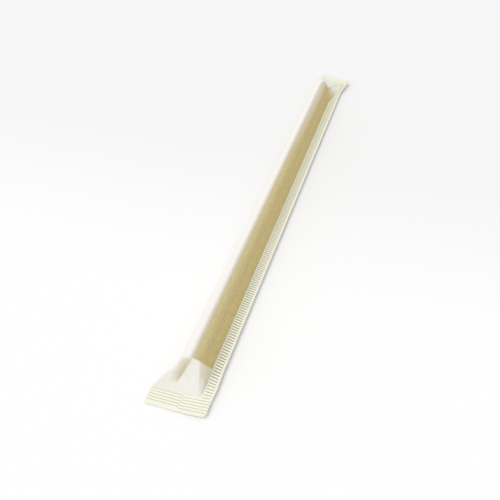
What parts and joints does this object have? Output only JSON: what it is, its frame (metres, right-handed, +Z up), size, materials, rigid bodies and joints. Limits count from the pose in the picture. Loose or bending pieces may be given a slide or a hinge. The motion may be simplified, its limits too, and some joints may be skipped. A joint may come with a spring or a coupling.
{
  "type": "wrapped drinking straw",
  "caption": "Bevel-cut drinking straw sealed in a thin translucent paper wrapper with a crimped side seam and flat crimped ends, to hand out with a drink.",
  "frame": {"origin": "on the table, under the middle of the wrapper's outline", "axes": "+Y along the straw towards its bevelled end, +X towards the side seam, +Z up"},
  "size_m": [0.0276, 0.274, 0.0116],
  "materials": {
    "wrapper_paper": "thin translucent off-white paper, matt",
    "straw_board": "golden tan outside, satin"
  },
  "bodies": {
    "root": {"paper_wrapper": "wrapper_paper", "drinking_straw": "straw_board"}
  },
  "joints": []
}
